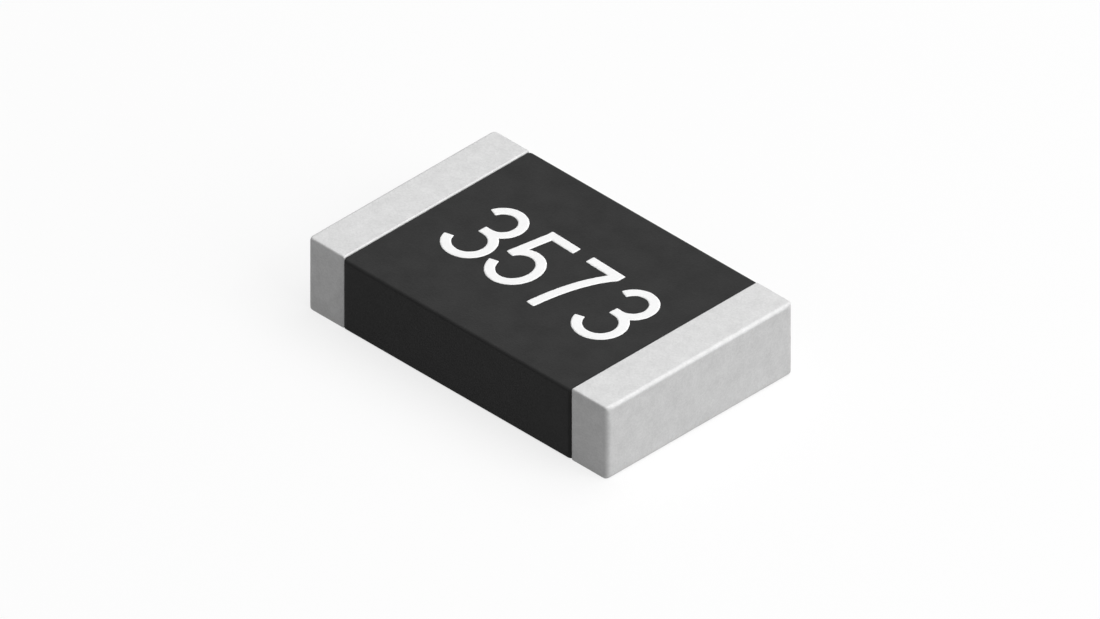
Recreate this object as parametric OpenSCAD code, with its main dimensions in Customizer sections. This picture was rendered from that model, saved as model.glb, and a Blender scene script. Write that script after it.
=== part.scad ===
// Thick-film chip resistor for surface mounting, built up in layers on a ceramic chip.
// X runs along the length, Y across the width and Z up. The origin lies on the seating
// plane, under the middle of the chip.

/* [Chip] */
// Length over both terminals
chip_length = 3.2; // [2.4:0.05:4.2]
// Width over the terminals
chip_width = 1.98; // [1.4:0.01:2.6]
// Height from the seating plane to the top of the terminals
chip_height = 0.66; // [0.4:0.01:0.9]
// Length of each terminal along the chip
terminal_length = 0.385; // [0.2:0.005:0.6]

/* [Terminals] */
// Thickness of the tin plating, the outermost metal
tin_thickness = 0.010; // [0.006:0.001:0.016]
// Thickness of the nickel barrier under the tin
nickel_thickness = 0.004; // [0.002:0.001:0.008]
// Thickness of the edge electrode that wraps the end of the ceramic
wrap_thickness = 0.016; // [0.008:0.001:0.024]
// Rounding of the level edges at the chip's ends
edge_round = 0.026; // [0.016:0.002:0.032]
// Rounding of a terminal's long edges
side_round = 0.014; // [0.004:0.002:0.024]
// Rounding of the upright corners at the chip's ends
corner_round = 0.040; // [0.020:0.002:0.060]
// Rounding of the rim where a terminal stops on the chip
rim_round = 0.013; // [0.002:0.001:0.018]

/* [Printed electrodes] */
// Thickness of the silver electrodes on top of the ceramic
top_electrode_thickness = 0.008; // [0.004:0.001:0.016]
// Thickness of the silver electrodes under the ceramic
bottom_electrode_thickness = 0.006; // [0.003:0.001:0.016]
// Distance of an electrode from the long sides of the ceramic
electrode_margin = 0.12; // [0.04:0.01:0.24]
// Edge electrode left beyond the inner end of a bottom electrode
bottom_electrode_setback = 0.03; // [0.01:0.005:0.08]

/* [Resistive film] */
// Thickness of the film
film_thickness = 0.006; // [0.003:0.001:0.010]
// Length of the film that lies on each top electrode
film_overlap = 0.12; // [0.04:0.01:0.24]
// Distance of the film from the long sides of the ceramic
film_margin = 0.25; // [0.12:0.01:0.4]
// Length over which the film steps down from an electrode to the ceramic
drape_run = 0.03; // [0.01:0.005:0.08]

/* [Trimming cut] */
// Width of the cut
trim_width = 0.05; // [0.02:0.005:0.08]
// Place of the cut along the chip, from its middle
trim_place = -0.30; // [-0.5:0.05:0.1]
// How far the cut reaches across the film
trim_depth = 0.55; // [0.2:0.05:0.8]
// How far the cut then runs along the film
trim_run = 0.45; // [0.1:0.05:0.6]
// How far outside the film the cut starts
trim_lead = 0.03; // [0.01:0.005:0.05]

/* [Glass seal] */
// Thickness of the glass over the film
glass_thickness = 0.004; // [0.002:0.001:0.008]
// How far the glass reaches past the film on all sides
glass_margin = 0.06; // [0.02:0.01:0.1]

/* [Overcoat] */
// Thickness of the overcoat where the glass is highest
coat_cover = 0.006; // [0.003:0.001:0.010]
// How far the overcoat stands out past the long sides of the terminals
coat_bulge = 0.014; // [0:0.002:0.020]
// Length of overcoat between the end of the glass and a terminal
coat_seal = 0.09; // [0.03:0.01:0.2]
// Gap between the underside of the overcoat and the seating plane
coat_clearance = 0.007; // [0.002:0.001:0.012]
// Width of the two lips of overcoat that turn in under the ceramic
coat_lip_width = 0.08; // [0.02:0.01:0.2]
// Rounding of the overcoat's long top edges
coat_round = 0.030; // [0.008:0.002:0.040]
// Rounding of the overcoat's long bottom edges
coat_lower_round = 0.016; // [0.004:0.002:0.024]
// Rounding of the overcoat's upright edges beside the terminals
coat_end_round = 0.028; // [0.010:0.002:0.030]

/* [Hidden] */
$fn = 48;

// Sides of the chip, as signs of X
left = -1;
right = 1;

// Metal outside the edge electrode, and all the metal outside the ceramic
plating = tin_thickness + nickel_thickness;
end_metal = plating + wrap_thickness;

// Ceramic, from the overall sizes and the layers that cover it
ceramic_length = chip_length - 2 * end_metal;
ceramic_width = chip_width - 2 * end_metal;
ceramic_bottom = end_metal + bottom_electrode_thickness;
ceramic_top = chip_height - end_metal - top_electrode_thickness;

// Distances from the middle of the chip, from the terminals inwards
rim = chip_length / 2 - terminal_length;
glass_end = rim - coat_seal;
film_end = glass_end - glass_margin;
top_electrode_end = film_end - film_overlap;
bottom_electrode_end = rim + plating + bottom_electrode_setback;

// Widths of the printed layers
electrode_width = ceramic_width - 2 * electrode_margin;
film_width = ceramic_width - 2 * film_margin;
glass_width = film_width + 2 * glass_margin;

// Levels of the printed layers, on the ceramic and where they lie on an electrode
film_low = ceramic_top + film_thickness;
film_high = film_low + top_electrode_thickness;
glass_low = film_low + glass_thickness;
glass_high = film_high + glass_thickness;
coat_top = glass_high + coat_cover;

// Rectangle between two corners, each corner with its own radius, counted from the lower left
// towards the right
module rounded_outline(low, high, radii) {
    corners = [low, [high.x, low.y], high, [low.x, high.y]];
    inward = [[1, 1], [-1, 1], [-1, -1], [1, -1]];
    tangents = [
        for (i = [0 : 3])
            for (turn = i % 2 == 0 ? [[0, 1], [1, 0]] : [[1, 0], [0, 1]])
                corners[i] + [inward[i].x * turn.x, inward[i].y * turn.y] * radii[i]
    ];
    polygon(tangents);
    for (i = [0 : 3])
        if (radii[i] > 0)
            translate(corners[i] + inward[i] * radii[i]) circle(radii[i]);
}

// Bar along X between two places, with its section drawn in Y and Z
module bar_along_x(start, end) {
    translate([start, 0, 0]) rotate([90, 0, 90]) linear_extrude(end - start) children();
}

// Bar across the chip, centred on it, with its section drawn in X and Z
module bar_along_y(width) {
    translate([0, width / 2, 0]) rotate([90, 0, 0]) linear_extrude(width) children();
}

// Box centred across the chip
module slab(start, end, width, bottom, top) {
    translate([start, -width / 2, bottom]) cube([end - start, width, top - bottom]);
}

// Places what is drawn at the right end at one of the two ends
module at_end(side) {
    mirror([side == left ? 1 : 0, 0, 0]) children();
}

// Outer form of a terminal at the right end, with every face moved in by the same distance, so
// that two of them with different insets leave a layer of even thickness between them
module terminal_block(inset) {
    start = rim + inset;
    end = chip_length / 2 - inset;
    half_width = chip_width / 2 - inset;
    bottom = inset;
    top = chip_height - inset;
    level = max(edge_round - inset, 0);
    upright = max(corner_round - inset, 0);
    long = max(side_round - inset, 0);
    inner = max(rim_round - inset, 0);
    intersection() {
        linear_extrude(chip_height)
            rounded_outline([start, -half_width], [end, half_width], [inner, upright, upright, inner]);
        bar_along_y(chip_width)
            rounded_outline([start, bottom], [end, top], [inner, level, level, inner]);
        bar_along_x(rim, chip_length / 2)
            rounded_outline([-half_width, bottom], [half_width, top], [long, long, long, long]);
    }
}

// Printed layer that lies on the two top electrodes and steps down to the ceramic between them
module printed_layer(end, width, low, high) {
    bar_along_y(width) polygon([
        [-end, ceramic_top], [-end, high],
        [-top_electrode_end, high], [drape_run - top_electrode_end, low],
        [top_electrode_end - drape_run, low], [top_electrode_end, high],
        [end, high], [end, ceramic_top]
    ]);
}

// Space of the laser's trimming cut: across the film from its front edge, then along it
module trim_cut() {
    front = -film_width / 2;
    start = trim_place - trim_width / 2;
    depth = coat_top - ceramic_top;
    translate([start, front - trim_lead, ceramic_top])
        cube([trim_width, trim_lead + trim_depth, depth]);
    translate([start, front + trim_depth - trim_width, ceramic_top])
        cube([trim_width + trim_run, trim_width, depth]);
}

module ceramic_substrate() {
    corner = max(corner_round - end_metal, 0);
    half = [ceramic_length, ceramic_width] / 2;
    color("ivory")
        translate([0, 0, ceramic_bottom])
            linear_extrude(ceramic_top - ceramic_bottom)
                rounded_outline(-half, half, [corner, corner, corner, corner]);
}

module top_electrode(side) {
    color("gainsboro") at_end(side)
        slab(top_electrode_end, ceramic_length / 2, electrode_width,
             ceramic_top, ceramic_top + top_electrode_thickness);
}

module bottom_electrode(side) {
    color("gainsboro") at_end(side)
        slab(bottom_electrode_end, ceramic_length / 2, electrode_width,
             ceramic_bottom - bottom_electrode_thickness, ceramic_bottom);
}

module resistive_film() {
    color("dimgray") difference() {
        printed_layer(film_end, film_width, film_low, film_high);
        top_electrode(left);
        top_electrode(right);
        trim_cut();
    }
}

module glass_seal() {
    color("darkseagreen") difference() {
        printed_layer(glass_end, glass_width, glass_low, glass_high);
        printed_layer(film_end, film_width, film_low, film_high);
        top_electrode(left);
        top_electrode(right);
        trim_cut();
    }
}

module overcoat() {
    half_width = chip_width / 2 + coat_bulge;
    bare_width = ceramic_width - 2 * coat_lip_width;
    end = coat_end_round;
    color([0.14, 0.14, 0.14]) difference() {
        intersection() {
            bar_along_x(-rim, rim)
                rounded_outline([-half_width, coat_clearance], [half_width, coat_top],
                                [coat_lower_round, coat_lower_round, coat_round, coat_round]);
            linear_extrude(chip_height)
                rounded_outline([-rim, -half_width], [rim, half_width], [end, end, end, end]);
        }
        slab(-chip_length / 2, chip_length / 2, bare_width, 0, ceramic_bottom);
        ceramic_substrate();
        top_electrode(left);
        top_electrode(right);
        resistive_film();
        glass_seal();
    }
}

module edge_electrode(side) {
    color("darkgray") difference() {
        at_end(side) terminal_block(plating);
        ceramic_substrate();
        top_electrode(side);
        bottom_electrode(side);
    }
}

module nickel_barrier(side) {
    color("lightslategray") difference() {
        at_end(side) terminal_block(tin_thickness);
        at_end(side) terminal_block(plating);
        ceramic_substrate();
        top_electrode(side);
    }
}

module tin_plating(side) {
    color("lightgray") difference() {
        at_end(side) terminal_block(0);
        at_end(side) terminal_block(tin_thickness);
        ceramic_substrate();
        top_electrode(side);
    }
}

ceramic_substrate();
top_electrode(left);  // top_electrode_left
top_electrode(right);  // top_electrode_right
bottom_electrode(left);  // bottom_electrode_left
bottom_electrode(right);  // bottom_electrode_right
resistive_film();
glass_seal();
overcoat();
edge_electrode(left);  // edge_electrode_left
edge_electrode(right);  // edge_electrode_right
nickel_barrier(left);  // nickel_barrier_left
nickel_barrier(right);  // nickel_barrier_right
tin_plating(left);  // tin_plating_left
tin_plating(right);  // tin_plating_right
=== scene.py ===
"""Dresses a thick-film chip resistor: plated terminals, epoxy overcoat, ink marking and a studio.

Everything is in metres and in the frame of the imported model: X along the chip, Y across it and
Z up from the seating plane.
"""

from __future__ import annotations

import logging
import math
from dataclasses import dataclass, field
from enum import Enum

import bpy
import numpy as np
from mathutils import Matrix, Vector

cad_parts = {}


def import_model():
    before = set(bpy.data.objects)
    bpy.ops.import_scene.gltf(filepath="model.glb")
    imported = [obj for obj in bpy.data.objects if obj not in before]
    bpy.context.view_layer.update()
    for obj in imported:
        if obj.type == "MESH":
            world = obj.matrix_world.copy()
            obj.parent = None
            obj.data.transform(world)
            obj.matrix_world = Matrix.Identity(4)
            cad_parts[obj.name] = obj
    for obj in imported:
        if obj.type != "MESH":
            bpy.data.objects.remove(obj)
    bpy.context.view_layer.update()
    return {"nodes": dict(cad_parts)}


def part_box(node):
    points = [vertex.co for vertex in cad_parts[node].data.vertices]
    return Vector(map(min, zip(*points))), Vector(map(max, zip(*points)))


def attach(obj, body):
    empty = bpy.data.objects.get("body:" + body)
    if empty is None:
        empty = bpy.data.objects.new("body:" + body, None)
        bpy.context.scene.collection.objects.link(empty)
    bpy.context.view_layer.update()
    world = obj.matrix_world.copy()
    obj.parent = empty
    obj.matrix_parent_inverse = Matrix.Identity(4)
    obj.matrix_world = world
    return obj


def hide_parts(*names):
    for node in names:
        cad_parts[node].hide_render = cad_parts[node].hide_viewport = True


LOG = logging.getLogger("chip_resistor")

MICRON = 1e-6
BODY = "root"
SMOOTH_ANGLE = math.radians(35)
# A step of the pen that is shorter than this share of a digit's height counts as none.
LEAST_STEP = 1e-6

Colour = tuple[float, float, float]
Place = tuple[float, float, float]
Point = tuple[float, float]


class End(Enum):
    """The two ends of the chip, as signs along X."""

    LEFT = -1
    RIGHT = 1

    def node(self, layer: str) -> str:
        """Name of this end's node of a layer that both ends have."""
        return f"{layer}_{self.name.lower()}"


@dataclass(frozen=True)
class ChipSizes:
    """Sizes that several pieces share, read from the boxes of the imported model's nodes."""

    half_length: float
    half_width: float
    height: float
    rim: float
    tin_thickness: float
    ceramic_half_width: float
    ceramic_bottom: float
    ceramic_top: float
    electrode_half_width: float
    electrode_top: float
    glass_top: float
    coat_half_width: float
    coat_bottom: float
    coat_top: float

    @classmethod
    def from_frame(cls) -> ChipSizes:
        """Reads the sizes.

        Returns:
            The sizes of the chip as it is packed.
        """
        tin_low, tin_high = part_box(End.RIGHT.node("tin_plating"))
        nickel_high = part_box(End.RIGHT.node("nickel_barrier"))[1]
        ceramic_low, ceramic_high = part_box("ceramic_substrate")
        electrode_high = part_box(End.RIGHT.node("top_electrode"))[1]
        coat_low, coat_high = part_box("overcoat")
        return cls(
            half_length=tin_high.x,
            half_width=tin_high.y,
            height=tin_high.z,
            rim=tin_low.x,
            tin_thickness=tin_high.x - nickel_high.x,
            ceramic_half_width=ceramic_high.y,
            ceramic_bottom=ceramic_low.z,
            ceramic_top=ceramic_high.z,
            electrode_half_width=electrode_high.y,
            electrode_top=electrode_high.z,
            glass_top=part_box("glass_seal")[1].z,
            coat_half_width=coat_high.y,
            coat_bottom=coat_low.z,
            coat_top=coat_high.z,
        )


def crowded(start: float, stop: float, count: int) -> np.ndarray:
    """Places between two ends, both included, spaced by a cosine so that they crowd at the ends.

    Args:
        start: The first place.
        stop: The last place.
        count: How many places.

    Returns:
        The places, in order.
    """
    share = (1 - np.cos(np.linspace(0, math.pi, count))) / 2
    return start + (stop - start) * share


def quarter_fall(distance: np.ndarray, radius: float) -> np.ndarray:
    """How far a rounded edge has come in from a wall, near the face that the wall turns into.

    A quarter circle: nothing from one radius away, and the whole radius at that face.

    Args:
        distance: Distances from that face.
        radius: The edge's radius.

    Returns:
        One length for each distance.
    """
    over = np.clip(1 - distance / radius, 0, 1)
    return radius * (1 - np.sqrt(1 - over**2))


def rounded_corner(first: np.ndarray, second: np.ndarray, radius: float) -> np.ndarray:
    """Distance outside two half planes that meet at a right angle, with their corner rounded.

    Both distances grow by the radius. Where both are then above zero, the result is their
    hypotenuse, and elsewhere the larger one. The radius comes off again at the end.

    Args:
        first: Distances outside the first half plane, below zero inside it.
        second: Distances outside the second half plane.
        radius: The corner's radius.

    Returns:
        One distance for each pair, below zero inside both.
    """
    one = first + radius
    two = second + radius
    past = np.hypot(np.maximum(one, 0), np.maximum(two, 0))
    return np.minimum(np.maximum(one, two), 0) + past - radius


def rounded_rings(stations: np.ndarray, arc_steps: int, side_steps: int) -> np.ndarray:
    """Rounded rectangles across the chip, one ring of points for each station along X.

    A corner is a quarter circle about a point one radius in from both of its sides. The straight
    runs between corners are points spaced by a cosine. A ring starts at the lower corner on +Y
    and ends with the run along the bottom.

    Args:
        stations: Rows of x, half width, low, high, radius of the lower and of the upper corners.
        arc_steps: Steps in each quarter circle.
        side_steps: Points inside each straight run.

    Returns:
        Points, by station, place round the ring and axis.
    """
    x, half_width, low, high, lower, upper = stations.T
    radius = np.stack((lower, upper, upper, lower), axis=1)
    centre_y = np.array((1, 1, -1, -1)) * (half_width[:, None] - radius)
    centre_z = np.stack((low, high, high, low), axis=1) + np.array((1, -1, -1, 1)) * radius
    angle = np.radians((-90, 0, 90, 180))[:, None] + np.linspace(0, math.pi / 2, arc_steps + 1)
    arc_y = centre_y[:, :, None] + radius[:, :, None] * np.cos(angle)
    arc_z = centre_z[:, :, None] + radius[:, :, None] * np.sin(angle)
    arcs = np.stack((arc_y, arc_z), axis=-1)
    after = np.roll(arcs[:, :, :1], -1, axis=1)
    share = crowded(0, 1, side_steps + 2)[1:-1, None]
    runs = arcs[:, :, -1:] + (after - arcs[:, :, -1:]) * share
    ring = np.concatenate((arcs, runs), axis=2).reshape(len(x), -1, 2)
    along = np.broadcast_to(x[:, None, None], (*ring.shape[:2], 1))
    return np.concatenate((along, ring), axis=2)


def ring_faces(rings: int, around: int) -> np.ndarray:
    """Four-sided faces that join each ring of points to the next.

    Args:
        rings: How many rings there are.
        around: Points in each ring.

    Returns:
        Rows of four point numbers.
    """
    ring, place = np.meshgrid(np.arange(rings - 1), np.arange(around), indexing="ij")
    after = (place + 1) % around
    near = ring * around
    far = near + around
    return np.stack((near + place, near + after, far + after, far + place), axis=-1).reshape(-1, 4)


def signed_volume(points: np.ndarray, quads: np.ndarray) -> float:
    """Six times the volume inside some faces as seen from their middle, below zero if they face inwards.

    Args:
        points: Rows of x, y and z.
        quads: Rows of four point numbers.

    Returns:
        The sum over the faces of the triple product of their corners.
    """
    corner = (points - points.mean(axis=0))[quads]
    first = np.einsum("ij,ij->i", corner[:, 0], np.cross(corner[:, 1], corner[:, 2]))
    second = np.einsum("ij,ij->i", corner[:, 0], np.cross(corner[:, 2], corner[:, 3]))
    return float((first + second).sum())


def make_piece(
    name: str, points: np.ndarray, quads: np.ndarray, lids: tuple[np.ndarray, ...] = ()
) -> bpy.types.Object:
    """Makes an object at the origin, smooth but for its sharp edges, with its faces outwards.

    Args:
        name: The piece's name.
        points: Rows of x, y and z.
        quads: Rows of four point numbers.
        lids: Rings of point numbers that close the ends, wound like the faces beside them.

    Returns:
        The object, linked to the scene.
    """
    faces = quads.tolist() + [lid.tolist() for lid in lids]
    if signed_volume(points, quads) < 0:
        faces = [face[::-1] for face in faces]
    mesh = bpy.data.meshes.new(name)
    mesh.from_pydata(points.tolist(), [], faces)
    mesh.polygons.foreach_set("use_smooth", np.ones(len(faces), dtype=bool))
    mesh.set_sharp_from_angle(angle=SMOOTH_ANGLE)
    mesh.update()
    piece = bpy.data.objects.new(name, mesh)
    bpy.context.scene.collection.objects.link(piece)
    return piece


def make_tube(name: str, rings: np.ndarray) -> bpy.types.Object:
    """Makes an object of rings, each joined to the next, with a lid on the first and the last.

    Args:
        name: The piece's name.
        rings: Points, by station, place round the ring and axis.

    Returns:
        The object, linked to the scene.
    """
    count, around = rings.shape[:2]
    first = np.arange(around)[::-1]
    last = np.arange(around) + (count - 1) * around
    return make_piece(name, rings.reshape(-1, 3), ring_faces(count, around), (first, last))


def dress(piece: bpy.types.Object, material: bpy.types.Material) -> None:
    """Gives all of an object's faces one material."""
    piece.data.materials.clear()
    piece.data.materials.append(material)


class NodeBench:
    """Short ways to add and join the nodes of a material, a group or the world."""

    def __init__(self, tree: bpy.types.NodeTree) -> None:
        """Takes up a tree with the nodes that it has."""
        self.tree = tree

    def add(self, kind: str, **settings: object) -> bpy.types.Node:
        """Adds a node.

        Args:
            kind: Blender's name of the node's type.
            settings: Properties of the node to set.

        Returns:
            The new node.
        """
        node = self.tree.nodes.new(kind)
        for setting, value in settings.items():
            setattr(node, setting, value)
        return node

    def join(self, source: bpy.types.NodeSocket, target: bpy.types.NodeSocket) -> None:
        """Links an output to an input."""
        self.tree.links.new(source, target)

    def remap(
        self, value: bpy.types.NodeSocket, given: Point = (0, 1), wanted: Point = (0, 1)
    ) -> bpy.types.NodeSocket:
        """Value carried in a straight line from one range to another, and held at its ends.

        Args:
            value: The value's socket.
            given: The range that it comes in.
            wanted: The range that it goes out in.

        Returns:
            The new value's socket.
        """
        node = self.add("ShaderNodeMapRange")
        for name, end in zip(("From Min", "From Max", "To Min", "To Max"), (*given, *wanted)):
            node.inputs[name].default_value = end
        self.join(value, node.inputs["Value"])
        return node.outputs["Result"]


class ShaderTree(NodeBench):
    """A material's nodes: one Principled shader, and short ways to dress a surface with it."""

    def __init__(self, name: str) -> None:
        """Starts a material with its shader, its output and Object coordinates.

        Args:
            name: The material's name.
        """
        self.material = bpy.data.materials.new(name)
        self.material.use_nodes = True
        super().__init__(self.material.node_tree)
        self.tree.nodes.clear()
        self.shader = self.add("ShaderNodeBsdfPrincipled")
        output = self.add("ShaderNodeOutputMaterial")
        self.join(self.shader.outputs["BSDF"], output.inputs["Surface"])
        self.place = self.add("ShaderNodeTexCoord").outputs["Object"]

    def group(self, group: bpy.types.NodeTree, **values: float) -> bpy.types.Node:
        """Places a node group on the surface.

        Args:
            group: The group, whose first input is the place on the surface.
            values: Its other inputs, by name.

        Returns:
            The group's node.
        """
        node = self.add("ShaderNodeGroup", node_tree=group)
        self.join(self.place, node.inputs["Place"])
        for name, value in values.items():
            node.inputs[name].default_value = value
        return node

    def blend(self, mask: bpy.types.NodeSocket, dark: Colour, light: Colour) -> bpy.types.NodeSocket:
        """Colour between two tones.

        Args:
            mask: 0 for the dark tone and 1 for the light one.
            dark: The first tone.
            light: The second tone.

        Returns:
            The colour's socket.
        """
        mix = self.add("ShaderNodeMix", data_type="RGBA")
        colours = [socket for socket in mix.inputs if socket.type == "RGBA"]
        colours[0].default_value = (*dark, 1)
        colours[1].default_value = (*light, 1)
        self.join(mask, mix.inputs["Factor"])
        return next(socket for socket in mix.outputs if socket.type == "RGBA")

    def relief(self, height: bpy.types.NodeSocket, depth: float) -> None:
        """Bumps the surface.

        Args:
            height: A height from 0 to 1.
            depth: What a height of 1 stands for, in metres.
        """
        bump = self.add("ShaderNodeBump")
        bump.inputs["Strength"].default_value = 1.0
        bump.inputs["Distance"].default_value = depth
        self.join(height, bump.inputs["Height"])
        self.join(bump.outputs["Normal"], self.shader.inputs["Normal"])


@dataclass
class SurfaceGroups:
    """The node groups that several finishes share, each built the first time that it is asked for.

    Attributes:
        cloud_share: The cloud's scale as a share of the grain's.
        grain_detail: Octaves of the grain's noise.
        cloud_detail: Octaves of the cloud's noise.
        noise_span: The noise that is stretched to 0 and to 1.
        seam_width: Width of the slope beside a crystal's seam, in shares of a crystal.
        built: The groups so far, by name.
    """

    cloud_share: float = 0.08
    grain_detail: float = 3.0
    cloud_detail: float = 2.0
    noise_span: Point = (0.28, 0.72)
    seam_width: float = 0.12
    built: dict[str, bpy.types.NodeTree] = field(default_factory=dict)

    def start(self, name: str, inputs: tuple[str, ...], outputs: tuple[str, ...]) -> bpy.types.NodeTree:
        """Makes an empty group that takes a place and some values.

        Args:
            name: The group's name.
            inputs: Names of its values, after the place.
            outputs: Names of the values that it puts out.

        Returns:
            The group, with its input and output nodes.
        """
        group = bpy.data.node_groups.new(name, "ShaderNodeTree")
        group.interface.new_socket("Place", in_out="INPUT", socket_type="NodeSocketVector")
        for value in inputs:
            group.interface.new_socket(value, in_out="INPUT", socket_type="NodeSocketFloat")
        for value in outputs:
            group.interface.new_socket(value, in_out="OUTPUT", socket_type="NodeSocketFloat")
        group.nodes.new("NodeGroupInput").name = "in"
        group.nodes.new("NodeGroupOutput").name = "out"
        self.built[name] = group
        return group

    def grain(self) -> bpy.types.NodeTree:
        """Fine grain over a slow cloud, both as noise: for every finish.

        Returns:
            The group, with inputs Place and Scale and outputs Grain and Cloud.
        """
        if "fine_grain" in self.built:
            return self.built["fine_grain"]
        bench = NodeBench(self.start("fine_grain", ("Scale",), ("Grain", "Cloud")))
        given = bench.tree.nodes["in"].outputs
        result = bench.tree.nodes["out"].inputs
        layers = (("Grain", 1.0, self.grain_detail), ("Cloud", self.cloud_share, self.cloud_detail))
        for output, share, detail in layers:
            scale = bench.add("ShaderNodeMath", operation="MULTIPLY")
            scale.inputs[1].default_value = share
            noise = bench.add("ShaderNodeTexNoise")
            noise.inputs["Detail"].default_value = detail
            bench.join(given["Scale"], scale.inputs[0])
            bench.join(given["Place"], noise.inputs["Vector"])
            bench.join(scale.outputs["Value"], noise.inputs["Scale"])
            bench.join(bench.remap(noise.outputs[0], self.noise_span), result[output])
        return bench.tree

    def crystals(self) -> bpy.types.NodeTree:
        """Small crystals side by side, as Voronoi cells: for plating, fired silver and fired ceramic.

        Returns:
            The group, with inputs Place and Scale and outputs Tone, one value for each crystal,
            and Seam, which falls to 0 between crystals.
        """
        if "crystals" in self.built:
            return self.built["crystals"]
        bench = NodeBench(self.start("crystals", ("Scale",), ("Tone", "Seam")))
        given = bench.tree.nodes["in"].outputs
        result = bench.tree.nodes["out"].inputs
        cells = bench.add("ShaderNodeTexVoronoi")
        seams = bench.add("ShaderNodeTexVoronoi", feature="DISTANCE_TO_EDGE")
        for voronoi in (cells, seams):
            bench.join(given["Place"], voronoi.inputs["Vector"])
            bench.join(given["Scale"], voronoi.inputs["Scale"])
        tone = bench.add("ShaderNodeSeparateColor")
        bench.join(cells.outputs["Color"], tone.inputs["Color"])
        bench.join(tone.outputs["Red"], result["Tone"])
        bench.join(bench.remap(seams.outputs["Distance"], (0, self.seam_width)), result["Seam"])
        return bench.tree


GROUPS = SurfaceGroups()


@dataclass(frozen=True)
class Finish:
    """A surface with two tones, two roughnesses and a relief, spread over it by a pattern.

    Attributes:
        name: The material's name.
        dark: The darker tone.
        light: The lighter tone.
        smooth: Roughness in the lows of the relief.
        rough: Roughness on its heights.
        grain_size: Size of a grain.
        relief_depth: Height of the relief.
        metallic: Share of metal.
        specular: Level of the plain reflection.
    """

    name: str
    dark: Colour
    light: Colour
    smooth: float
    rough: float
    grain_size: float
    relief_depth: float
    metallic: float = 0.0
    specular: float = 0.5

    def pattern(self, tree: ShaderTree) -> tuple[bpy.types.NodeSocket, bpy.types.NodeSocket]:
        """Sockets of the tone's mask, from the clouds, and of the relief's height, from the grain."""
        grain = tree.group(GROUPS.grain(), Scale=1 / self.grain_size)
        return grain.outputs["Cloud"], grain.outputs["Grain"]

    def material(self) -> bpy.types.Material:
        """Makes the material.

        Returns:
            A new material of this finish.
        """
        tree = ShaderTree(self.name)
        mask, height = self.pattern(tree)
        shader = tree.shader
        shader.inputs["Metallic"].default_value = self.metallic
        shader.inputs["Specular IOR Level"].default_value = self.specular
        tree.join(tree.blend(mask, self.dark, self.light), shader.inputs["Base Color"])
        tree.join(tree.remap(height, wanted=(self.smooth, self.rough)), shader.inputs["Roughness"])
        tree.relief(height, self.relief_depth)
        return tree.material


@dataclass(frozen=True)
class CrystalFinish(Finish):
    """A surface of fine crystals: matte plating, fired silver or fired alumina.

    Attributes:
        crystal_size: Size of a crystal.
        evenness: Share of the clouds in the tone, beside the crystals.
    """

    crystal_size: float = 12 * MICRON
    evenness: float = 0.5

    def pattern(self, tree: ShaderTree) -> tuple[bpy.types.NodeSocket, bpy.types.NodeSocket]:
        """Crystals whose tone is evened out by clouds, with grain and seams in the relief.

        Args:
            tree: The material's nodes.

        Returns:
            The sockets of the tone's mask and of the height.
        """
        grain = tree.group(GROUPS.grain(), Scale=1 / self.grain_size)
        crystals = tree.group(GROUPS.crystals(), Scale=1 / self.crystal_size)
        mask = tree.add("ShaderNodeMix", data_type="FLOAT")
        mask.inputs["Factor"].default_value = self.evenness
        tree.join(crystals.outputs["Tone"], mask.inputs["A"])
        tree.join(grain.outputs["Cloud"], mask.inputs["B"])
        height = tree.add("ShaderNodeMath", operation="MULTIPLY")
        tree.join(grain.outputs["Grain"], height.inputs[0])
        tree.join(crystals.outputs["Seam"], height.inputs[1])
        return mask.outputs["Result"], height.outputs["Value"]


MATTE_TIN = CrystalFinish(
    name="matte_tin",
    dark=(0.59, 0.59, 0.59),
    light=(0.71, 0.71, 0.71),
    smooth=0.58,
    rough=0.70,
    grain_size=9 * MICRON,
    relief_depth=0.35 * MICRON,
    metallic=0.25,
    crystal_size=14 * MICRON,
)
DULL_NICKEL = CrystalFinish(
    name="dull_nickel",
    dark=(0.50, 0.48, 0.44),
    light=(0.62, 0.60, 0.55),
    smooth=0.35,
    rough=0.5,
    grain_size=6 * MICRON,
    relief_depth=0.3 * MICRON,
    metallic=1.0,
    crystal_size=8 * MICRON,
)
FIRED_SILVER = CrystalFinish(
    name="fired_silver",
    dark=(0.66, 0.65, 0.62),
    light=(0.80, 0.79, 0.76),
    smooth=0.45,
    rough=0.65,
    grain_size=8 * MICRON,
    relief_depth=0.6 * MICRON,
    metallic=0.9,
    crystal_size=10 * MICRON,
)
FIRED_ALUMINA = CrystalFinish(
    name="fired_alumina",
    dark=(0.72, 0.70, 0.64),
    light=(0.84, 0.83, 0.78),
    smooth=0.5,
    rough=0.7,
    grain_size=7 * MICRON,
    relief_depth=0.5 * MICRON,
    crystal_size=9 * MICRON,
)
BLACK_EPOXY = Finish(
    name="black_epoxy",
    dark=(0.0214, 0.0214, 0.0214),
    light=(0.0284, 0.0284, 0.0284),
    smooth=0.46,
    rough=0.60,
    grain_size=16 * MICRON,
    relief_depth=0.5 * MICRON,
    specular=0.09,
)
MARKING_INK = Finish(
    name="marking_ink",
    dark=(0.96, 0.96, 0.96),
    light=(0.99, 0.99, 0.99),
    smooth=0.5,
    rough=0.7,
    grain_size=14 * MICRON,
    relief_depth=0.5 * MICRON,
    specular=0.3,
)
EDGE_PASTE = Finish(
    name="edge_paste",
    dark=(0.34, 0.33, 0.31),
    light=(0.48, 0.47, 0.45),
    smooth=0.5,
    rough=0.7,
    grain_size=10 * MICRON,
    relief_depth=0.6 * MICRON,
    metallic=0.6,
)
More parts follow.
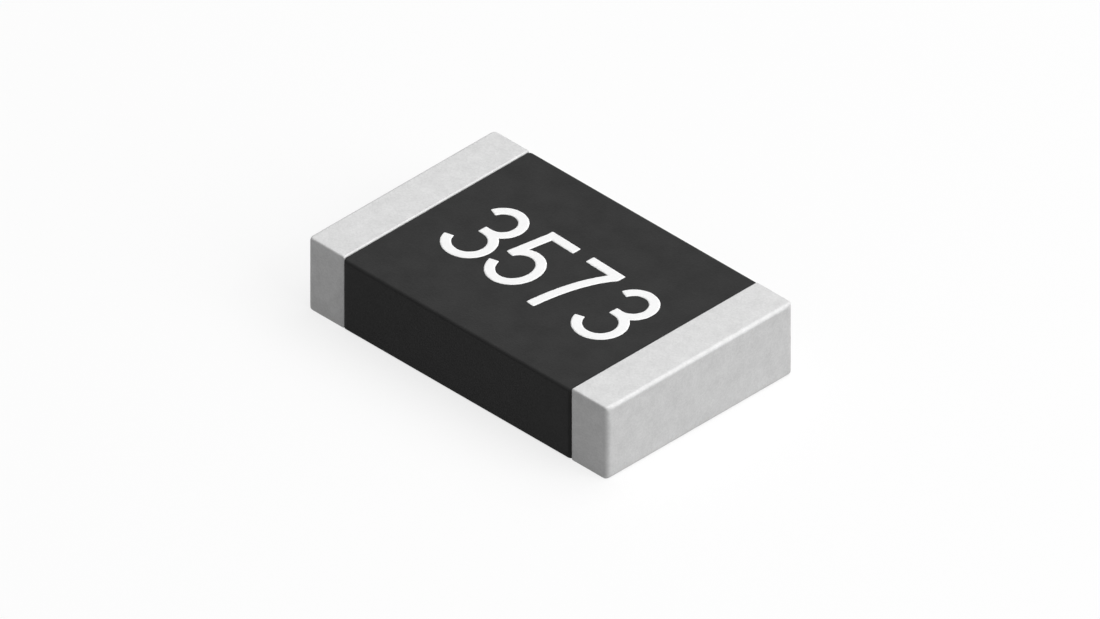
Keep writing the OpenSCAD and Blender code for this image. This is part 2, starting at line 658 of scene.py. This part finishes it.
RESISTIVE_PASTE = Finish(
    name="resistive_paste",
    dark=(0.03, 0.03, 0.033),
    light=(0.06, 0.06, 0.065),
    smooth=0.4,
    rough=0.6,
    grain_size=10 * MICRON,
    relief_depth=0.4 * MICRON,
)
SEAL_GLASS = Finish(
    name="seal_glass",
    dark=(0.16, 0.24, 0.18),
    light=(0.24, 0.32, 0.26),
    smooth=0.15,
    rough=0.3,
    grain_size=40 * MICRON,
    relief_depth=0.3 * MICRON,
)


@dataclass
class TinTerminal:
    """The tin plating round one end of the chip: a thin shell of five walls with a rim.

    Attributes:
        end: The end of the chip that it wraps.
        sizes: The chip's sizes.
        edge_round: Radius of the end face's level edges.
        side_round: Radius of the upper long edges.
        foot_round: Radius of the lower long edges.
        corner_round: Radius of the end face's upright edges.
        rim_round: Radius of the rim on the top and on the bottom.
        side_rim_round: Radius of the rim on the long sides.
        face_round: Radius of the end face's corners.
        face_reach: Distance from the end within which the long edges grow to that radius.
        bore_round: Radius of the corners of the rim's opening.
        least_round: The smallest radius that any edge is left with.
        border: Width of a flat strip inside the end face's edges.
        arc_steps: Steps in each quarter circle.
        side_steps: Points along each straight run.
    """

    end: End
    sizes: ChipSizes
    edge_round: float = 32 * MICRON
    side_round: float = 14 * MICRON
    foot_round: float = 4 * MICRON
    corner_round: float = 40 * MICRON
    rim_round: float = 13 * MICRON
    side_rim_round: float = 5 * MICRON
    face_round: float = 50 * MICRON
    face_reach: float = 60 * MICRON
    bore_round: float = 4 * MICRON
    least_round: float = 1 * MICRON
    border: float = 3 * MICRON
    arc_steps: int = 10
    side_steps: int = 14

    def skin(self, inset: float) -> np.ndarray:
        """Stations of the terminal's outer form moved in by one distance, from its rim to its end.

        Towards the end, the half width falls along a circle of the upright corner's radius, and
        the top and bottom come in along a circle of the level edge's radius. At the rim they rise
        along small circles, the long sides on the smaller one. The long edges keep their radii
        until close to the end, and there these grow to the radius of the end face's corners.

        Args:
            inset: How far every wall is moved in.

        Returns:
            Rows for rounded_rings.
        """
        sizes = self.sizes
        level = self.edge_round - inset
        upright = self.corner_round - inset
        rim = max(self.rim_round - inset, self.least_round)
        side_rim = max(self.side_rim_round - inset, self.least_round)
        start = sizes.rim + inset
        stop = sizes.half_length - inset
        turn = np.linspace(0, math.pi / 2, self.arc_steps + 1)
        rim_x = start + rim * (1 - np.cos(turn))
        band_x = crowded(start + rim, stop - upright, self.side_steps)[1:-1]
        end_x = stop - upright * (1 - np.sin(turn))
        x = np.concatenate((rim_x, band_x, end_x))
        rise_y = quarter_fall(x - start, side_rim)
        rise_z = quarter_fall(x - start, rim)
        in_y = inset + rise_y + quarter_fall(stop - x, upright)
        in_z = inset + rise_z + quarter_fall(stop - x, level)
        swell = quarter_fall(stop - x, self.face_reach) / self.face_reach
        edges = np.array((self.foot_round, self.side_round))
        radii = edges + (self.face_round - edges) * swell[:, None]
        radii = np.maximum(radii - (inset + np.minimum(rise_y, rise_z))[:, None], self.least_round)
        return np.column_stack((x, sizes.half_width - in_y, in_z, sizes.height - in_z, radii))

    def end_face(self, skin: np.ndarray) -> np.ndarray:
        """The station just inside the border of a skin's flat end, as one row for rounded_rings."""
        return skin[-1:] + np.array((0, -1, 1, -1, -1, -1)) * self.border

    def stations(self) -> np.ndarray:
        """Stations of the whole shell: inside from its end to its rim, through the rim, and outside.

        Returns:
            Rows for rounded_rings.
        """
        sizes = self.sizes
        outside = self.skin(0)
        inside = self.skin(sizes.tin_thickness)
        bore = np.array(
            (
                sizes.rim + sizes.tin_thickness,
                sizes.ceramic_half_width,
                sizes.ceramic_bottom,
                sizes.electrode_top,
                self.bore_round,
                self.bore_round,
            )
        )
        mouth = bore.copy()
        mouth[0] = sizes.rim
        return np.concatenate(
            (
                self.end_face(inside),
                inside[::-1],
                bore[None],
                mouth[None],
                outside,
                self.end_face(outside),
            )
        )

    def build(self, finish: bpy.types.Material) -> bpy.types.Object:
        """Makes the terminal and puts it in place of its solid.

        Args:
            finish: The plating's material.

        Returns:
            The terminal.
        """
        rings = rounded_rings(self.stations(), self.arc_steps, self.side_steps)
        piece = make_tube(self.end.node("terminal"), rings * np.array((self.end.value, 1, 1)))
        dress(piece, finish)
        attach(piece, BODY)
        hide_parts(self.end.node("tin_plating"))
        return piece


@dataclass
class Overcoat:
    """The black coat: over the top and the long sides, and a little way under the ceramic.

    Attributes:
        sizes: The chip's sizes.
        top_round: Radius of the upper long edges.
        lower_round: Radius of the lower long edges.
        end_round: Radius of the upright edges beside the terminals.
        softness: Radius of the level edges beside the terminals.
        lip: How far the coat reaches in under the ceramic.
        arc_steps: Steps in each quarter circle of a ring.
        side_steps: Points along each straight run of a ring.
        end_steps: Steps from ring to ring in each rounded end.
        length_steps: Rings along the straight middle, with those at its two ends.
    """

    sizes: ChipSizes
    top_round: float = 25 * MICRON
    lower_round: float = 16 * MICRON
    end_round: float = 28 * MICRON
    softness: float = 4 * MICRON
    lip: float = 80 * MICRON
    arc_steps: int = 10
    side_steps: int = 20
    end_steps: int = 10
    length_steps: int = 16

    def outside(self) -> np.ndarray:
        """Rings of the coat's outer form, rounded towards the terminals.

        At both ends the half width falls along a circle of the upright edge's radius, and the
        top and the bottom come in along a much smaller one.

        Returns:
            Points, by station, place round the ring and axis.
        """
        sizes = self.sizes
        turn = np.linspace(0, math.pi / 2, self.end_steps + 1)
        reach = sizes.rim - self.end_round
        tail = reach + self.end_round * np.sin(turn)
        x = np.concatenate((-tail[::-1], crowded(-reach, reach, self.length_steps)[1:-1], tail))
        in_y = quarter_fall(sizes.rim - np.abs(x), self.end_round)
        in_z = quarter_fall(sizes.rim - np.abs(x), self.softness)
        stations = np.column_stack(
            (
                x,
                sizes.coat_half_width - in_y,
                sizes.coat_bottom + in_z,
                sizes.coat_top - in_z,
                self.lower_round - in_z,
                self.top_round - in_z,
            )
        )
        return rounded_rings(stations, self.arc_steps, self.side_steps)

    def inside(self) -> np.ndarray:
        """The inner outline, from one lip up round the ceramic and down to the other lip.

        Returns:
            Rows of y and z.
        """
        sizes = self.sizes
        wall = sizes.ceramic_half_width
        lip = wall - self.lip
        right = np.array(
            (
                (sizes.electrode_half_width, sizes.glass_top),
                (sizes.electrode_half_width, sizes.ceramic_top),
                (wall, sizes.ceramic_top),
                (wall, sizes.ceramic_bottom),
                (lip, sizes.ceramic_bottom),
                (lip, sizes.coat_bottom + self.softness),
            )
        )
        left = right[::-1] * np.array((-1, 1))
        return np.concatenate((left, right))

    def build(self, finish: bpy.types.Material) -> bpy.types.Object:
        """Makes the coat and puts it in place of its solid.

        A ring of it is the outer form's without the run along the bottom, and then the inner outline.

        Args:
            finish: The coat's material.

        Returns:
            The coat.
        """
        outside = self.outside()[:, : -self.side_steps]
        outline = self.inside()
        inside = np.broadcast_to(outline, (len(outside), *outline.shape))
        along = np.broadcast_to(outside[:, :1, :1], (*inside.shape[:2], 1))
        rings = np.concatenate((outside, np.concatenate((along, inside), axis=2)), axis=1)
        piece = make_tube("epoxy_coat", rings)
        dress(piece, finish)
        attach(piece, BODY)
        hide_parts("overcoat")
        return piece


@dataclass(frozen=True)
class Bow:
    """Part of an ellipse that the pen walks, in shares of a digit's height."""

    centre: Point
    radii: Point
    start: float
    stop: float
    steps: int = 30

    def points(self) -> np.ndarray:
        """Centre plus the radii times cosine and sine of the angles from start to stop, in degrees."""
        angle = np.radians(np.linspace(self.start, self.stop, self.steps + 1))
        return np.array(self.centre) + np.stack((np.cos(angle), np.sin(angle)), axis=1) * self.radii


@dataclass(frozen=True)
class Run:
    """Straight lines that the pen walks through some corners, in shares of a digit's height."""

    corners: tuple[Point, ...]

    def points(self) -> np.ndarray:
        """The corners as rows."""
        return np.array(self.corners)


@dataclass(frozen=True)
class Sweep:
    """A curve from one point to another that leans towards a third, in shares of a digit's height."""

    start: Point
    lean: Point
    stop: Point
    steps: int = 24

    def points(self) -> np.ndarray:
        """The quadratic curve: start, lean and stop weighted by (1-t)^2, 2t(1-t) and t^2.

        Returns:
            Rows of x and y.
        """
        t = np.linspace(0, 1, self.steps + 1)
        weights = np.column_stack(((1 - t) ** 2, 2 * t * (1 - t), t**2))
        return weights @ np.array((self.start, self.lean, self.stop))


class Digit(Enum):
    """The digits of the marking, each as the strokes of a pen."""

    THREE = (
        (
            Bow((0.285, 0.735), (0.205, 0.21), 165, -90),
            Run(((0.285, 0.525), (0.215, 0.525))),
        ),
        (Bow((0.285, 0.29), (0.235, 0.235), 90, -165),),
    )
    FIVE = (
        (Run(((0.50, 0.945), (0.092, 0.945))),),
        (Run(((0.15, 0.96), (0.079, 0.435))),),
        (Bow((0.28, 0.325), (0.235, 0.27), 150, -165),),
    )
    SEVEN = (
        (Run(((0.055, 0.945), (0.515, 0.945))),),
        (Sweep((0.47, 0.93), (0.25, 0.62), (0.21, 0.0)),),
    )

    def strokes(self) -> list[np.ndarray]:
        """The points that the pen walks through.

        Returns:
            Rows of x and y for each stroke, with no point twice in a row.
        """
        walks = [np.concatenate([part.points() for part in stroke]) for stroke in self.value]
        return [walk[np.r_[True, np.hypot(*np.diff(walk, axis=0).T) > LEAST_STEP]] for walk in walks]


@dataclass
class Marking:
    """White ink digits printed on the coat, each a thin raised film with soft shoulders.

    Attributes:
        sizes: The chip's sizes.
        digits: The digits, from left to right.
        cap_height: Height of a digit.
        digit_width: Width of a digit, in shares of its height.
        pitch: Distance from one digit to the next.
        pen_width: Width of a stroke.
        thickness: Height of the ink above the coat.
        shoulder: Width of the slope along the ink's edge.
        root_depth: How far the ink reaches into the coat.
        cut_round: Radius of the corners where a stroke ends.
        edge_waver: How far the edge strays from its line.
        waver_length: Lengths along X and Y over which the waver turns by one radian.
        middle: Middle of the marking on the coat.
        turn: Turn of the marking, anticlockwise from above.
        cell: Distance between neighbouring places of the grid.
        margin_cells: Cells of the grid past a digit on each side.
        least_depth: How deep inside the outline a place lies to count as inked.
        least_steepness: The smallest square of a slope that a move is divided by.
    """

    sizes: ChipSizes
    digits: tuple[Digit, ...] = (Digit.THREE, Digit.FIVE, Digit.SEVEN, Digit.THREE)
    cap_height: float = 770 * MICRON
    digit_width: float = 0.57
    pitch: float = 485 * MICRON
    pen_width: float = 85 * MICRON
    thickness: float = 4 * MICRON
    shoulder: float = 9 * MICRON
    root_depth: float = 1.5 * MICRON
    cut_round: float = 9 * MICRON
    edge_waver: float = 0.8 * MICRON
    waver_length: Point = (14 * MICRON, 17 * MICRON)
    middle: Point = (25 * MICRON, -25 * MICRON)
    turn: float = math.radians(-2.2)
    cell: float = 3 * MICRON
    margin_cells: int = 4
    least_depth: float = 1 * MICRON
    least_steepness: float = 0.25

    def stroke_distance(self, stroke: np.ndarray, places: np.ndarray) -> np.ndarray:
        """How far places lie outside one stroke's ink, below zero inside it.

        The distance from the nearest of the stroke's short straight pieces, less half the pen's
        width. Beside its first and last piece the ink also stops square at the stroke's end.

        Args:
            stroke: Rows of x and y along the stroke, in metres.
            places: Rows of x and y, in metres.

        Returns:
            One distance for each place.
        """
        along = np.diff(stroke, axis=0)
        length = np.hypot(along[:, 0], along[:, 1])
        along = along / length[:, None]
        gap = places[:, None] - stroke[:-1]
        run = np.einsum("ijk,jk->ij", gap, along)
        off = np.abs(gap[..., 0] * along[:, 1] - gap[..., 1] * along[:, 0])
        away = np.hypot(off, np.maximum(np.maximum(-run, run - length), 0))
        nearest = away.argmin(axis=1)
        distance = away.min(axis=1) - self.pen_width / 2
        for piece, beyond in ((0, -run[:, 0]), (len(along) - 1, run[:, -1] - length[-1])):
            cut = rounded_corner(off[:, piece] - self.pen_width / 2, beyond, self.cut_round)
            distance = np.where(nearest == piece, np.maximum(distance, cut), distance)
        return distance

    def outline_distance(self, number: int, digit: Digit, places: np.ndarray) -> np.ndarray:
        """How far places lie outside a digit's ink, with the slight waver of a printed edge.

        The smallest distance from any of its strokes, plus a product of two slow sine waves.

        Args:
            number: The digit's place in the marking, which shifts the waver.
            digit: The digit.
            places: Rows of x and y in the digit's own frame, in metres.

        Returns:
            One distance for each place, below zero inside the ink.
        """
        strokes = [stroke * self.cap_height for stroke in digit.strokes()]
        distance = np.minimum.reduce([self.stroke_distance(stroke, places) for stroke in strokes])
        turn_x, turn_y = (places / np.array(self.waver_length)).T
        return distance + self.edge_waver * np.sin(turn_x) * np.sin(turn_y + number)

    def grid(self) -> np.ndarray:
        """Places one cell apart, over a digit's width and height with a margin all round.

        Returns:
            Places in the digit's own frame, by column, row and axis.
        """
        margin = self.margin_cells * self.cell
        x = np.arange(-margin, self.digit_width * self.cap_height + margin, self.cell)
        y = np.arange(-margin, self.cap_height + margin, self.cell)
        return np.stack(np.meshgrid(x, y, indexing="ij"), axis=-1)

    def film_faces(self, inked: np.ndarray) -> np.ndarray:
        """Faces of a closed film over every cell of the grid that has an inked corner.

        A point with such cells all round it has a twin underneath, numbered after all the points
        on top. The points of the outline have none and serve both sides, which closes the film.

        Args:
            inked: Whether each place is inside the ink, by column and row.

        Returns:
            Rows of four point numbers.
        """
        used = inked[:-1, :-1] | inked[1:, :-1] | inked[:-1, 1:] | inked[1:, 1:]
        upper = np.arange(inked.size)
        number_of = upper.reshape(inked.shape)
        corners = (number_of[:-1, :-1], number_of[1:, :-1], number_of[1:, 1:], number_of[:-1, 1:])
        top = np.stack([corner[used] for corner in corners], axis=1)
        cells_round = np.bincount(top.ravel(), minlength=inked.size)
        lower = np.where(cells_round == len(corners), upper + inked.size, upper)
        return np.concatenate((top, lower[top][:, ::-1]))

    def onto_outline(self, grid: np.ndarray, distance: np.ndarray, inked: np.ndarray) -> np.ndarray:
        """Moves the places outside the ink onto its outline, down the slope of the distance.

        The move is the slope times the distance over the square of the slope.

        Args:
            grid: Places, by column, row and axis.
            distance: How far each place lies outside the ink.
            inked: Whether each place is inside the ink.

        Returns:
            The places after the move.
        """
        slope = np.stack(np.gradient(distance, self.cell), axis=-1)
        steepness = np.maximum((slope**2).sum(axis=-1), self.least_steepness)
        move = np.where(inked, 0, distance / steepness)
        return grid - move[..., None] * slope

    def onto_coat(self, number: int, places: np.ndarray) -> np.ndarray:
        """Moves places from a digit's own frame to the coat: spaced by the pitch, turned and shifted.

        Args:
            number: The digit's place in the marking, from 0.
            places: Rows of x and y in the digit's own frame.

        Returns:
            Rows of x and y on the coat.
        """
        first = -(len(self.digits) - 1) / 2 * self.pitch
        to_middle = np.array((-self.digit_width, -1)) / 2 * self.cap_height
        local = places + to_middle + np.array((first + number * self.pitch, 0))
        cos = math.cos(self.turn)
        sin = math.sin(self.turn)
        return local @ np.array(((cos, sin), (-sin, cos))) + np.array(self.middle)

    def build_digit(self, number: int, digit: Digit, finish: bpy.types.Material) -> bpy.types.Object:
        """Makes one digit as a height over a grid, closed underneath.

        The height rises from the outline along a sine shoulder to a flat top.

        Args:
            number: The digit's place in the marking, from 0.
            digit: The digit.
            finish: The ink's material.

        Returns:
            The digit.
        """
        grid = self.grid()
        distance = self.outline_distance(number, digit, grid.reshape(-1, 2)).reshape(grid.shape[:2])
        inked = distance < -self.least_depth
        flat = self.onto_coat(number, self.onto_outline(grid, distance, inked).reshape(-1, 2))
        rise = np.clip(-distance / self.shoulder, 0, 1) * inked
        height = self.thickness * np.sin(rise * math.pi / 2)
        upper = self.sizes.coat_top + height.ravel()
        lower = np.full(len(flat), self.sizes.coat_top - self.root_depth)
        points = np.concatenate((np.c_[flat, upper], np.c_[flat, lower]))
        kept, quads = np.unique(self.film_faces(inked), return_inverse=True)
        piece = make_piece(f"marking_digit_{number + 1}", points[kept], quads.reshape(-1, 4))
        dress(piece, finish)
        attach(piece, BODY)
        return piece

    def build(self, finish: bpy.types.Material) -> list[bpy.types.Object]:
        """Makes all the digits of one material, from left to right."""
        return [self.build_digit(number, digit, finish) for number, digit in enumerate(self.digits)]


@dataclass
class InnerLayers:
    """The solids that stay as they are packed: the ceramic and the layers inside the chip."""

    nodes: dict[str, bpy.types.Object]

    def finishes(self) -> dict[str, Finish]:
        """Says what each kept solid is made of.

        Returns:
            Finishes, by the node's name.
        """
        kept: dict[str, Finish] = {
            "ceramic_substrate": FIRED_ALUMINA,
            "resistive_film": RESISTIVE_PASTE,
            "glass_seal": SEAL_GLASS,
        }
        for end in End:
            kept[end.node("top_electrode")] = FIRED_SILVER
            kept[end.node("bottom_electrode")] = FIRED_SILVER
            kept[end.node("edge_electrode")] = EDGE_PASTE
            kept[end.node("nickel_barrier")] = DULL_NICKEL
        return kept

    def build(self) -> None:
        """Dresses each kept solid, with one material for each finish."""
        made: dict[str, bpy.types.Material] = {}
        for name, finish in self.finishes().items():
            if finish.name not in made:
                made[finish.name] = finish.material()
            dress(self.nodes[name], made[finish.name])
            LOG.info("dressed %s in %s", name, finish.name)


@dataclass(frozen=True)
class Softbox:
    """A square lamp that faces the chip.

    Attributes:
        name: The lamp's name.
        place: Where it hangs.
        size: Width of its square.
        power: Its power, in watts.
    """

    name: str
    place: Place
    size: float
    power: float

    def build(self, target: Vector) -> None:
        """Hangs the lamp.

        Args:
            target: The point that it faces.
        """
        lamp = bpy.data.lights.new(self.name, "AREA")
        lamp.shape = "SQUARE"
        lamp.size = self.size
        lamp.energy = self.power
        holder = bpy.data.objects.new(self.name, lamp)
        holder.location = self.place
        holder.rotation_euler = (target - holder.location).to_track_quat("-Z", "Y").to_euler()
        holder.visible_camera = False
        bpy.context.scene.collection.objects.link(holder)


@dataclass
class Studio:
    """A pale floor, soft lamps, a white surround and a camera on the isometric line of sight.

    Attributes:
        target: The point in the middle of the picture.
        sight: Direction from the chip to the camera, at equal angles with all three axes.
        view_width: Width of the picture.
        camera_distance: How far back the camera stands.
        clip_start: The nearest depth that the camera shows.
        clip_end: The farthest depth that the camera shows.
        floor_half: Half the floor's width.
        floor_drop: How far the floor lies under the seating plane.
        floor_light: The floor's tone to the eye and in reflections.
        floor_dim: The floor's tone as a source of light.
        floor_white: Share of plain white in the floor to the eye and in reflections.
        surround_light: Strength of the surround as a source of light.
        surround_white: Strength of the surround to the eye and in reflections.
        lamps: The lamps.
    """

    target: Place = (-2.8 * MICRON, -2.8 * MICRON, 288 * MICRON)
    sight: Place = (1, -1, 1)
    view_width: float = 8.308e-3
    camera_distance: float = 0.03
    clip_start: float = 1e-4
    clip_end: float = 1.0
    floor_half: float = 0.15
    floor_drop: float = 0.2 * MICRON
    floor_light: float = 0.97
    floor_dim: float = 0.22
    floor_white: float = 0.78
    surround_light: float = 0.150
    surround_white: float = 0.98
    lamps: tuple[Softbox, ...] = (
        Softbox("top_softbox", place=(0.020, 0.035, 0.100), size=0.130, power=0.1072),
        Softbox("right_softbox", place=(0.100, 0.025, 0.052), size=0.095, power=0.0763),
    )

    def aim(self) -> Vector:
        """The point in the middle of the picture."""
        return Vector(self.target)

    def seen(self, bench: NodeBench) -> bpy.types.NodeSocket:
        """Whether a ray comes from the camera, a reflection or a clear body.

        Args:
            bench: The nodes of the floor or of the world.

        Returns:
            A socket that is 1 for such rays and 0 for the rest.
        """
        path = bench.add("ShaderNodeLightPath")
        seen = path.outputs["Is Camera Ray"]
        for ray in ("Is Glossy Ray", "Is Transmission Ray"):
            either = bench.add("ShaderNodeMath", operation="MAXIMUM")
            bench.join(seen, either.inputs[0])
            bench.join(path.outputs[ray], either.inputs[1])
            seen = either.outputs["Value"]
        return seen

    def build_floor(self) -> None:
        """Lays the floor just under the seating plane, white to the eye and dimmer as a light."""
        half = self.floor_half
        signs = ((-1, -1), (1, -1), (1, 1), (-1, 1))
        corners = [(x * half, y * half, -self.floor_drop) for x, y in signs]
        mesh = bpy.data.meshes.new("floor")
        mesh.from_pydata(corners, [], [(0, 1, 2, 3)])
        floor = bpy.data.objects.new("floor", mesh)
        bpy.context.scene.collection.objects.link(floor)
        material = bpy.data.materials.new("pale_floor")
        material.use_nodes = True
        bench = NodeBench(material.node_tree)
        bench.tree.nodes.clear()
        diffuse = bench.add("ShaderNodeBsdfDiffuse")
        white = bench.add("ShaderNodeEmission")
        both = bench.add("ShaderNodeMixShader")
        output = bench.add("ShaderNodeOutputMaterial")
        seen = self.seen(bench)
        bench.join(bench.remap(seen, wanted=(self.floor_dim, self.floor_light)), diffuse.inputs["Color"])
        bench.join(bench.remap(seen, wanted=(0, self.floor_white)), both.inputs["Fac"])
        bench.join(diffuse.outputs["BSDF"], both.inputs[1])
        bench.join(white.outputs["Emission"], both.inputs[2])
        bench.join(both.outputs["Shader"], output.inputs["Surface"])
        dress(floor, material)

    def build_surround(self) -> None:
        """Sets the world: white to the eye and in reflections, and a weak even light otherwise."""
        world = bpy.data.worlds.new("surround")
        world.use_nodes = True
        bench = NodeBench(world.node_tree)
        background = next(node for node in bench.tree.nodes if node.type == "BACKGROUND")
        background.inputs["Color"].default_value = (1, 1, 1, 1)
        strength = bench.remap(self.seen(bench), wanted=(self.surround_light, self.surround_white))
        bench.join(strength, background.inputs["Strength"])
        bpy.context.scene.world = world

    def build_camera(self) -> None:
        """Puts a parallel camera on the line of sight that makes equal angles with all three axes."""
        data = bpy.data.cameras.new("camera")
        data.type = "ORTHO"
        data.ortho_scale = self.view_width
        data.clip_start = self.clip_start
        data.clip_end = self.clip_end
        camera = bpy.data.objects.new("camera", data)
        back = Vector(self.sight).normalized()
        camera.location = self.aim() + back * self.camera_distance
        camera.rotation_euler = (-back).to_track_quat("-Z", "Y").to_euler()
        bpy.context.scene.collection.objects.link(camera)
        bpy.context.scene.camera = camera

    def build(self) -> None:
        """Sets up the camera, the floor, the surround and the lamps."""
        bpy.context.scene.view_settings.view_transform = "Standard"
        self.build_camera()
        self.build_floor()
        self.build_surround()
        for lamp in self.lamps:
            lamp.build(self.aim())


def main() -> None:
    """Loads the frame, builds and dresses each piece, and sets up the studio."""
    logging.basicConfig(level=logging.INFO, format="%(name)s: %(message)s")
    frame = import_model()
    sizes = ChipSizes.from_frame()
    Studio().build()
    InnerLayers(frame["nodes"]).build()
    tin = MATTE_TIN.material()
    pieces = [TinTerminal(end, sizes).build(tin) for end in End]
    pieces.append(Overcoat(sizes).build(BLACK_EPOXY.material()))
    pieces.extend(Marking(sizes).build(MARKING_INK.material()))
    for piece in pieces:
        LOG.info("built %s with %d faces", piece.name, len(piece.data.polygons))


if __name__ == "__main__":
    main()
